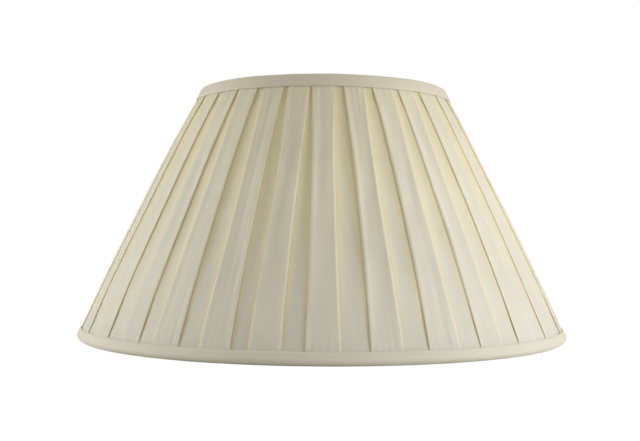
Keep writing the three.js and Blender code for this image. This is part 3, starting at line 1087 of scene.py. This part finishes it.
@dataclass
class Binding:
    """A bias strip folded over a rim, its two ends lapped at the back."""

    wall: ConeWall
    layers: Layers
    finishes: Finishes
    rim: Rim
    inner_leg: float = 5 * MM
    edge_press: float = 0.3 * MM
    past_wire: float = 3.25 * MM
    lap: float = 11 * MM
    join_turn: float = math.radians(176.0)
    lap_clearance: float = 0.15 * MM
    waviness: float = 0.07 * MM
    raggedness: float = 0.14 * MM  # of the band's edge
    band_points: int = 9
    crest_points: int = 25
    leg_points: int = 6
    press_points: float = 2.5  # how many points in from its edge the band is pressed down
    columns: int = 420
    seed: int = 3

    def section(self) -> tuple[np.ndarray, np.ndarray]:
        """The strip's middle line over the rim, from the outside band's edge to the inner leg's.

        Returns:
            Distances along and out, point by point.
        """
        past = self.rim.value
        centre = (self.layers.binding_outside - self.layers.binding_inside) / 2
        half = (self.layers.binding_outside + self.layers.binding_inside - self.layers.binding_thickness) / 2
        reach = self.past_wire - self.layers.binding_thickness / 2
        wire = 0.0 if self.rim is Rim.BOTTOM else self.wall.slant
        edge_height = self.wall.band_height
        if self.rim is Rim.TOP:
            edge_height = self.wall.shade_height - edge_height
        band_end = self.wall.along_at(edge_height, self.layers.binding_outside)
        swing = np.linspace(0, math.pi, self.crest_points)[1:-1]
        along = np.concatenate([
            np.linspace(band_end, wire, self.band_points),
            wire + past * reach * np.sin(swing),
            np.linspace(wire, wire - past * self.inner_leg, self.leg_points),
        ])
        from_edge = np.linspace(0, self.band_points, self.band_points)
        pressed = centre + half - self.edge_press * (1 - ease(from_edge / self.press_points))
        inside = np.full(self.leg_points, centre - half)
        out = np.concatenate([pressed, centre + half * np.cos(swing), inside])
        return along, out

    def build(self) -> Obj:
        """Builds the binding and puts it in its solid's place.

        Returns:
            The binding.
        """
        along, out = self.section()
        tangent = np.stack([np.gradient(along), np.gradient(out)], axis=1)
        tangent /= np.linalg.norm(tangent, axis=1, keepdims=True)
        normal = np.stack([-tangent[:, 1], tangent[:, 0]], axis=1)
        if normal[0, 1] < 0:
            normal = -normal
        half = self.layers.binding_thickness / 2
        cap = np.radians([60, 20, -20, -60])

        middle_line = np.stack([along, out], axis=1)

        def end(index: int, way: float) -> np.ndarray:
            """Points round one cut edge, at the first or last point of the middle line."""
            round_edge = way * np.cos(cap)[:, None] * tangent[index] + np.sin(cap)[:, None] * normal[index]
            return middle_line[index] + half * round_edge

        outer, inner = middle_line + half * normal, middle_line - half * normal
        loop = np.array([*outer, *end(-1, 1.0), *inner[::-1], *reversed(end(0, -1.0))])
        if self.rim is Rim.BOTTOM:
            loop = loop[::-1]

        ring_radius, _ = self.wall.ring(self.rim)
        lap_turn = self.lap / ring_radius
        turn = self.join_turn + np.linspace(0, FULL_TURN + lap_turn, self.columns)
        over = ease((turn - turn[-1] + 2 * lap_turn) / lap_turn)
        middle = self.layers.binding_outside / 4
        lift = self.layers.binding_thickness + self.lap_clearance
        swell = 1 + (over * lift / self.layers.binding_outside)[None, :]
        wave = Ripple(self.seed, (0.045, 0.02)).at(turn[None, :] * RIPPLE_RADIUS, loop[:, :1])
        ragged = Ripple(self.seed + 1, (0.03, 0.5)).at(turn * RIPPLE_RADIUS, np.zeros(1))
        # The unevenness comes in over 3 mm, so that only the outside band has it.
        band = np.clip((loop[:, 1] - 0.5 * MM) / (3 * MM), 0, 1)[:, None]
        along_grid = loop[:, :1] - self.rim.value * self.raggedness * ragged[None, :] * band
        out_grid = middle + (loop[:, 1:] - middle) * swell + self.waviness * wave * band
        points = self.wall.places(np.broadcast_to(turn, out_grid.shape), along_grid, out_grid)
        points[..., 2] = np.maximum(points[..., 2], 0.0)

        around = np.broadcast_to(turn * self.wall.bottom_radius, out_grid.shape)
        step = np.linalg.norm(np.diff(loop, axis=0), axis=1)
        across = np.broadcast_to(np.concatenate([[0], np.cumsum(step)])[:, None], out_grid.shape)
        name = f"{self.rim.label}_bias_binding"
        strip = woven_grid(name, points, np.stack([around, across], axis=-1).copy(), joined=True)
        self.close_ends(strip, len(loop))
        dress(strip, self.finishes.binding, f"{self.rim.label}_binding")
        return strip

    def close_ends(self, strip: Obj, loop_size: int) -> None:
        """Closes the strip's two cut ends with faces.

        Args:
            strip: the folded strip.
            loop_size: how many points its section has.
        """
        with Bench.editing(strip) as mesh:
            mesh.verts.ensure_lookup_table()
            for column in (0, self.columns - 1):
                Bench.pick(mesh, mesh.verts, [v.index % self.columns == column for v in mesh.verts])
                bpy.ops.mesh.edge_face_add()
            bpy.ops.mesh.select_all(action="SELECT")
            bpy.ops.mesh.normals_make_consistent(inside=False)
        Bench.hold(strip)
        bpy.ops.object.shade_smooth_by_angle(angle=math.radians(50))


@dataclass
class Lining:
    """Two half cones of thin cloth, stretched inside the struts and seamed at the front and back."""

    wall: ConeWall
    layers: Layers
    finishes: Finishes
    bow: float = 1.3 * MM
    seam_allowance: float = 1.6 * MM
    seam_gap: float = 0.3 * MM
    allowance_lean: float = 0.15 * MM
    pull_height: float = 0.12 * MM
    columns: int = 140
    rows: int = 40

    def build(self) -> list[Obj]:
        """Builds both halves and puts them in the solids' place.

        Returns:
            The right half and the left one.
        """
        made = []
        along = np.linspace(0, self.wall.slant, self.rows)[:, None]
        share = along / self.wall.slant
        for side, start in (("right", 0.0), ("left", math.pi)):
            even = np.linspace(0, 1, self.columns - 4)[None, :]
            radius = self.wall.radius(along, -self.layers.lining)
            inset = self.seam_gap / radius
            turn = start + inset + even * (math.pi - 2 * inset)
            slack = 4 * share * (1 - share)
            out = -self.layers.lining - self.bow * slack + np.zeros_like(even)
            pull = Ripple(17 if side == "right" else 23, (0.05, 0.3)).at(even * 0.5, along)
            out = out + self.pull_height * pull * slack
            turned = np.array([[0.45, 1.0]])  # points on each seam allowance, as shares of it
            lean, rise = self.allowance_lean / radius * turned, self.seam_allowance * turned
            turns = np.hstack([turn[:, :1] - lean[:, ::-1], turn, turn[:, -1:] + lean])
            outs = np.hstack([out[:, :1] + rise[:, ::-1], out, out[:, -1:] + rise])
            grid = np.broadcast_to(along, turns.shape)
            points = self.wall.places(turns, grid, outs)
            flat = np.stack([(turns - start - math.pi / 2) * self.wall.radius(grid, 0), grid], axis=-1)
            name = f"stretched_lining_{side}"
            cloth = woven_grid(name, points[:, ::-1], flat[:, ::-1])
            dress(cloth, self.finishes.lining, f"lining_{side}")
            made.append(cloth)
        return made


@dataclass
class WoundTape:
    """A narrow cotton tape wound round a ring's wire, each turn lapping the last."""

    wall: ConeWall
    finishes: Finishes
    rim: Rim
    width: float = 11.5 * MM
    pitch: float = 9.0 * MM
    under_gap: float = 0.12 * MM  # between the wire and the tape's lower edge
    outer_gap: float = 0.08 * MM  # between its upper edge and the solid's surface
    steps: int = 14

    def build(self) -> Obj:
        """Builds the tape and puts it in its solid's place.

        Returns:
            The tape.
        """
        ring_radius, ring_height = self.wall.ring(self.rim)
        turns = round(FULL_TURN * ring_radius / self.pitch)
        wound = np.linspace(0, turns, turns * self.steps + 1)[None, :]
        across = np.linspace(0, 1, 4)[:, None]
        start = self.wall.wire_radius + self.under_gap
        bulk = start + (self.wall.tape_radius - self.outer_gap - start) * (1 - across)
        swing = FULL_TURN * wound
        ring_turn = wound / turns * FULL_TURN + across * self.width / ring_radius
        radius = ring_radius + bulk * np.cos(swing)
        height = ring_height + bulk * np.sin(swing)
        points = np.stack([radius * np.sin(ring_turn), -radius * np.cos(ring_turn), height], axis=-1)
        length = float(turns * FULL_TURN * bulk.mean())
        flat = np.stack(np.broadcast_arrays(wound / turns * length, across * self.width), axis=-1)
        tape = woven_grid(f"{self.rim.label}_wound_tape", points, flat.copy())
        dress(tape, self.finishes.tape, f"{self.rim.label}_ring_tape")
        return tape


# ---------------------------------------------------------------------------------------------------------
# Metal and plastic
# ---------------------------------------------------------------------------------------------------------


@dataclass
class WireFrame:
    """The two rings and the struts between them."""

    wall: ConeWall
    finishes: Finishes
    struts: int = 8
    strut_radius: float = 1.4 * MM
    weld_gap: float = 0.1 * MM
    upset: float = 0.35 * MM

    def ring(self, rim: Rim) -> Obj:
        """Makes one ring.

        Args:
            rim: which rim it is in.

        Returns:
            The ring.
        """
        radius, height = self.wall.ring(rim)
        Bench.clear()
        bpy.ops.mesh.primitive_torus_add(
            location=(0, 0, height), major_radius=radius, minor_radius=self.wall.wire_radius,
            major_segments=180, minor_segments=14,
        )
        ring = Bench.settle(Bench.named(f"{rim.label}_ring"))
        return dress(ring, self.finishes.wire, f"{rim.label}_ring_wire")

    def strut(self, number: int) -> Obj:
        """Makes one strut between the two rings, its ends upset a little where they are welded.

        Args:
            number: the strut, from 1.

        Returns:
            The strut.
        """
        low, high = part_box(f"strut_{number}")
        middle = (low + high) / 2
        heading = math.atan2(middle.y, middle.x)
        gap = self.wall.wire_radius + self.weld_gap
        Bench.clear()
        bpy.ops.mesh.primitive_cylinder_add(
            vertices=20, radius=self.strut_radius, depth=self.wall.slant - 2 * gap, end_fill_type="TRIFAN",
            location=middle, rotation=(0, -self.wall.slope, heading),
        )
        strut = Bench.named(f"frame_strut_{number}")
        Bench.modify(strut, "BEVEL", width=self.upset, segments=2, limit_method="ANGLE")
        return dress(Bench.settle(strut), self.finishes.wire, f"strut_{number}")

    def build(self) -> list[Obj]:
        """Makes the rings and struts."""
        return [*(self.ring(rim) for rim in Rim), *(self.strut(n + 1) for n in range(self.struts))]


@dataclass
class GimbalFitter:
    """The reversible fitter: two arms on rivets, the utility ring and the loose reducer."""

    finishes: Finishes
    arm_width: float = 7 * MM
    arm_thickness: float = 1.5 * MM
    arm_drop: float = 8 * MM  # from the pivot to the first bend
    bend_radius: float = 5 * MM
    hole: float = 3.5 * MM
    facets: int = 96
    peg_sides: int = 48
    ring_bore: float = 21.25 * MM
    seat_gap: float = 0.3 * MM
    barrel_radius: float = 20.9 * MM
    barrel_wall: float = 2.2 * MM
    reducer_bore: float = 14.5 * MM
    slots: int = 3
    slot_width: float = 5 * MM
    slot_overrun: float = 2 * MM  # of the slot's tool past the barrel's length
    slot_drop: float = 1.35 * MM  # of the tool's middle below the barrel's
    rivet_head_depth: float = 1.8 * MM
    rivet_dome: float = 1.1 * MM
    shank_radius: float = 1.5 * MM
    edge: float = 0.25 * MM

    def peg(self, name: str, radius: float, depth: float, place: Sequence[float]) -> Obj:
        """Makes a cylinder that lies along the pivots' line.

        Args:
            name: the object's name.
            radius: the cylinder's radius.
            depth: its length.
            place: its middle.

        Returns:
            The cylinder.
        """
        Bench.clear()
        bpy.ops.mesh.primitive_cylinder_add(
            vertices=self.peg_sides, radius=radius, depth=depth, location=place,
            rotation=(0, math.pi / 2, 0),
        )
        return Bench.named(name)

    def break_edges(self, obj: Obj, sharper_than: float) -> None:
        """Rounds off the edges that turn by more than some degrees."""
        angle = math.radians(sharper_than)
        Bench.modify(obj, "BEVEL", width=self.edge, segments=2, limit_method="ANGLE", angle_limit=angle)

    def flat_ring(self, name: str, outer: float, insets: Sequence[float], height: float) -> Obj:
        """Makes a flat disc with rings of faces on it and a hole inside the last.

        Args:
            name: the object's name.
            outer: the disc's radius.
            insets: the width of each ring of faces, from the outside in.
            height: the disc's height.

        Returns:
            The disc, one face thick.
        """
        Bench.clear()
        bpy.ops.mesh.primitive_circle_add(
            vertices=self.facets, radius=outer, fill_type="NGON", location=(0, 0, height)
        )
        disc = Bench.named(name)
        with Bench.editing(disc):
            bpy.ops.mesh.select_all(action="SELECT")
            for width in insets:
                bpy.ops.mesh.inset(thickness=width / math.cos(math.pi / self.facets))
            bpy.ops.mesh.delete(type="FACE")
        return disc

    def utility_ring(self) -> Obj:
        """Makes the flat ring that clamps on a lamp holder.

        Returns:
            The ring.
        """
        low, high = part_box("utility_ring")
        ring = self.flat_ring("fitter_ring", high.x, [high.x - self.ring_bore], low.z)
        Bench.modify(ring, "SOLIDIFY", thickness=high.z - low.z, offset=1.0)
        Bench.modify(ring, "BEVEL", width=self.edge, segments=3, limit_method="ANGLE")
        Bench.settle(ring)
        return dress(ring, self.finishes.gimbal, "utility_ring", "gimbal")

    def reducer(self) -> Obj:
        """Makes the reducer: a flange with a barrel under it, slotted so that it springs into the bore.

        Returns:
            The reducer.
        """
        low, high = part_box("reducer_ring")
        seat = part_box("utility_ring")[1].z + self.seat_gap
        barrel, inside = self.barrel_radius, self.barrel_radius - self.barrel_wall
        insets = [high.x - barrel, self.barrel_wall, inside - self.reducer_bore]
        ring = self.flat_ring("push_in_reducer", high.x, insets, seat)
        Bench.modify(ring, "SOLIDIFY", thickness=high.z - seat, offset=1.0)
        with Bench.editing(ring) as mesh:
            centres = [face.calc_center_median() for face in mesh.faces]
            under_barrel = [abs(c.z) < 1e-5 and inside < math.hypot(c.x, c.y) < barrel for c in centres]
            Bench.pick(mesh, mesh.faces, under_barrel)
            bpy.ops.mesh.extrude_region_move(TRANSFORM_OT_translate={"value": (0, 0, low.z - seat)})
        middle = barrel - self.barrel_wall / 2
        height = (low.z + seat) / 2 - self.slot_drop
        for turn in (FULL_TURN * number / self.slots - math.pi / 2 for number in range(self.slots)):
            Bench.clear()
            bpy.ops.mesh.primitive_cube_add(
                size=1, scale=(2.5 * self.barrel_wall, self.slot_width, seat - low.z + self.slot_overrun),
                rotation=(0, 0, turn), location=(middle * math.cos(turn), middle * math.sin(turn), height),
            )
            Bench.cut(ring, Bench.named("slot_tool"))
        self.break_edges(ring, 40)
        Bench.settle(ring)
        return dress(ring, self.finishes.reducer, "reducer_ring", "reducer")

    def arm_path(self, side: str) -> list[Vector]:
        """The middle line of an arm, from its top edge down to its end on the utility ring.

        Args:
            side: left or right.

        Returns:
            Points in the plane of the pivots, rounded at the bends.
        """
        low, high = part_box(f"gimbal_arm_{side}")
        ring_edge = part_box("utility_ring")[1].x
        outward = 1.0 if side == "right" else -1.0
        face = max(abs(low.x), abs(high.x)) - self.arm_thickness / 2
        lap = min(abs(low.x), abs(high.x))
        pivot = high.z - self.arm_width / 2
        lap_height = low.z + self.arm_thickness / 2
        corners = [
            Vector(corner) for corner in (
                (face, pivot), (face, pivot - self.arm_drop),
                (ring_edge + self.arm_thickness, lap_height), (lap, lap_height),
            )
        ]
        path = [corners[0]]
        for before, bend, after in zip(corners, corners[1:], corners[2:]):
            to_before, to_after = (before - bend).normalized(), (after - bend).normalized()
            half = to_before.angle(to_after) / 2
            run = min(self.bend_radius / math.tan(half), (after - bend).length * 0.8)
            start, end = bend + to_before * run, bend + to_after * run
            for share in np.linspace(0, 1, 7):
                path.append(start.lerp(bend, share).lerp(bend.lerp(end, share), share))
        path.append(corners[-1])
        return [Vector((outward * spot.x, 0, spot.y)) for spot in path]

    def arm(self, side: str) -> Obj:
        """Makes one arm: a bent strip with an eye for its rivet.

        Args:
            side: left or right.

        Returns:
            The arm.
        """
        path = self.arm_path(side)
        Bench.clear()
        bpy.ops.mesh.primitive_plane_add(size=self.arm_width, location=path[0], rotation=(0, math.pi / 2, 0))
        arm = Bench.named(f"fitter_arm_{side}")
        bpy.ops.object.transform_apply(location=True, rotation=True, scale=True)
        with Bench.editing(arm) as mesh:
            Bench.pick(mesh, mesh.verts, [v.co.z > path[0].z for v in mesh.verts])
            bpy.ops.transform.translate(value=(0, 0, -self.arm_width / 2))
            Bench.pick(mesh, mesh.verts, [v.co.z < path[0].z - self.arm_width / 4 for v in mesh.verts])
            bpy.ops.transform.translate(value=path[1] - path[0] + Vector((0, 0, self.arm_width / 2)))
            for start, end in zip(path[1:], path[2:]):
                bpy.ops.mesh.extrude_region_move(TRANSFORM_OT_translate={"value": end - start})
        Bench.modify(arm, "SOLIDIFY", thickness=self.arm_thickness, offset=0.0)
        Bench.cut(arm, self.peg("eye_tool", self.arm_width / 2, self.arm_thickness, path[0]), "UNION")
        Bench.cut(arm, self.peg("eye_tool", self.hole / 2, 3 * self.arm_thickness, path[0]))
        self.break_edges(arm, 50)
        Bench.settle(arm)
        return dress(arm, self.finishes.gimbal, f"gimbal_arm_{side}", "gimbal")

    def rivet(self, side: str) -> Obj:
        """Makes one pivot rivet: a domed head and a shank.

        Args:
            side: left or right.

        Returns:
            The rivet.
        """
        low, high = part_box(f"pivot_rivet_{side}")
        outward = 1.0 if side == "right" else -1.0
        inner, outer = sorted((abs(low.x), abs(high.x)))
        height = (low.z + high.z) / 2
        head_middle = inner + self.rivet_head_depth / 2
        place = (outward * head_middle, 0, height)
        rivet = self.peg(f"domed_rivet_{side}", (high.z - low.z) / 2, self.rivet_head_depth, place)
        bpy.ops.object.transform_apply(location=True, rotation=True, scale=True)
        with Bench.editing(rivet) as mesh:
            Bench.pick(mesh, mesh.verts, [abs(v.co.x) < inner + 0.1 * MM for v in mesh.verts])
            bpy.ops.mesh.bevel(offset=self.rivet_dome, segments=5, affect="EDGES")
        place = (outward * (head_middle + outer) / 2, 0, height)
        Bench.cut(rivet, self.peg("shank", self.shank_radius, outer - head_middle, place), "UNION")
        Bench.settle(rivet)
        return dress(rivet, self.finishes.rivet, f"pivot_rivet_{side}")

    def build(self) -> list[Obj]:
        """Makes every piece of the fitter."""
        sides = ("left", "right")
        return [
            *(self.arm(side) for side in sides), *(self.rivet(side) for side in sides),
            self.utility_ring(), self.reducer(),
        ]


# ---------------------------------------------------------------------------------------------------------
# Studio
# ---------------------------------------------------------------------------------------------------------


@dataclass(frozen=True)
class SoftBox:
    """A soft rectangular light aimed at the middle of the shade."""

    name: str
    turn: float  # degrees round the axis from the front towards +X
    rise: float  # degrees above level
    distance: float
    width: float
    height: float
    power: float
    colour: Colour = (1.0, 1.0, 1.0)

    def place(self, target: Vector) -> Obj:
        """Hangs the light, facing a point.

        Args:
            target: what it lights.

        Returns:
            The light.
        """
        turn, rise = math.radians(self.turn), math.radians(self.rise)
        way = Vector((math.cos(rise) * math.sin(turn), -math.cos(rise) * math.cos(turn), math.sin(rise)))
        data = bpy.data.lights.new(self.name, "AREA")
        data.shape = "RECTANGLE"
        data.size, data.size_y = self.width, self.height
        data.energy, data.color = self.power, self.colour
        light = bpy.data.objects.new(self.name, data)
        bpy.context.scene.collection.objects.link(light)
        light.location = target + way * self.distance
        light.rotation_euler = (-way).to_track_quat("-Z", "Y").to_euler()
        return light


@dataclass
class Studio:
    """The floor, lights and camera."""

    wall: ConeWall
    surround: float = 0.535
    surround_colour: Colour = (1.0, 0.985, 0.93)
    distance: float = 4.1208  # of the camera from the axis, in rim radii
    eye_height: float = 0.4309  # of the camera above the floor, in rim radii
    lens: float = 54.94
    shift: tuple[float, float] = (-0.0038, 0.0183)
    roll: float = 0.0065
    lights: tuple[SoftBox, ...] = (
        SoftBox("right_softbox", 70, 13, 1.4, 0.6, 0.85, 16.6, (0.98, 1.0, 1.08)),
        SoftBox("left_softbox", -90, 13, 1.4, 0.6, 0.85, 14.2, (0.98, 1.0, 1.07)),
    )
    floor_radius: float = 9.0
    floor_gap: float = 0.2 * MM  # between the floor and the bottom rim

    def floor(self) -> Obj:
        """Lays a round pale floor, which the camera sees as plain white.

        Returns:
            The floor.
        """
        recipe = Recipe("studio_floor")
        cloudy = recipe.noise(recipe.place(), 3.0)
        pale = recipe.node(
            "BsdfPrincipled",
            {
                "Base Color": recipe.tint(cloudy, ((0.3, (0.74, 0.74, 0.73)), (0.7, (0.77, 0.77, 0.76)))),
                "Roughness": 0.9,
                "Specular IOR Level": 0.1,
            },
        )
        lit = recipe.node("Emission", {"Color": (1, 1, 1, 1), "Strength": 1.0})
        seen = recipe.node("LightPath").outputs["Is Camera Ray"]
        mixed = recipe.node("MixShader", {"Fac": seen, 1: pale.outputs[0], 2: lit.outputs[0]})
        Bench.clear()
        bpy.ops.mesh.primitive_circle_add(
            vertices=96, radius=self.floor_radius, fill_type="NGON", location=(0, 0, -self.floor_gap)
        )
        floor = Bench.settle(Bench.named("studio_floor"))
        floor.data.materials.append(recipe.finish(mixed))
        return floor

    def sky(self) -> None:
        """Surrounds the scene with even light, and a white backdrop for the camera."""
        world = bpy.data.worlds.new("studio_surround")
        bpy.context.scene.world = world
        world.use_nodes = True
        tree = world.node_tree
        tree.nodes.clear()
        output = tree.nodes.new("ShaderNodeOutputWorld")
        rays = tree.nodes.new("ShaderNodeLightPath")
        mix = tree.nodes.new("ShaderNodeMixShader")
        for slot, strength, colour in ((1, self.surround, self.surround_colour), (2, 1.0, (1, 1, 1))):
            background = tree.nodes.new("ShaderNodeBackground")
            background.inputs["Color"].default_value = (*colour, 1.0)
            background.inputs["Strength"].default_value = strength
            tree.links.new(background.outputs[0], mix.inputs[slot])
        tree.links.new(rays.outputs["Is Camera Ray"], mix.inputs[0])
        tree.links.new(mix.outputs[0], output.inputs["Surface"])

    def camera(self) -> Obj:
        """Sets up the camera, level with the lower half of the shade.

        Returns:
            The camera.
        """
        data = bpy.data.cameras.new("camera")
        data.lens = self.lens
        data.sensor_width = 36.0
        data.shift_x, data.shift_y = self.shift
        data.clip_start = 0.05
        data.dof.use_dof = False
        camera = bpy.data.objects.new("camera", data)
        bpy.context.scene.collection.objects.link(camera)
        radius = self.wall.rim_radius
        camera.location = (0, -self.distance * radius, self.eye_height * radius)
        level = Matrix.Rotation(math.pi / 2, 3, "X")
        camera.rotation_euler = (level @ Matrix.Rotation(self.roll, 3, "Z")).to_euler()
        bpy.context.scene.camera = camera
        return camera

    def build(self) -> None:
        """Builds the floor, the surround, the lights and the camera."""
        self.floor()
        self.sky()
        target = Vector((0, 0, self.wall.shade_height / 2))
        for light in self.lights:
            light.place(target)
        self.camera()
        bpy.context.scene.view_settings.view_transform = "Standard"
        bpy.context.scene.view_settings.look = "None"


def main() -> None:
    """Builds the shade on its frame, piece by piece, and the studio round it."""
    logging.basicConfig(level=logging.INFO, format="%(name)s %(message)s")
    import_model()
    wall = ConeWall.from_frame()
    layers = Layers()
    finishes = Finishes()
    for builder in (
        WireFrame(wall, finishes),
        WoundTape(wall, finishes, Rim.BOTTOM),
        WoundTape(wall, finishes, Rim.TOP),
        Lining(wall, layers, finishes),
        PleatedCover(wall, layers, finishes),
        Binding(wall, layers, finishes, Rim.BOTTOM),
        Binding(wall, layers, finishes, Rim.TOP, seed=29),
        GimbalFitter(finishes),
        Studio(wall),
    ):
        builder.build()


if __name__ == "__main__":
    main()
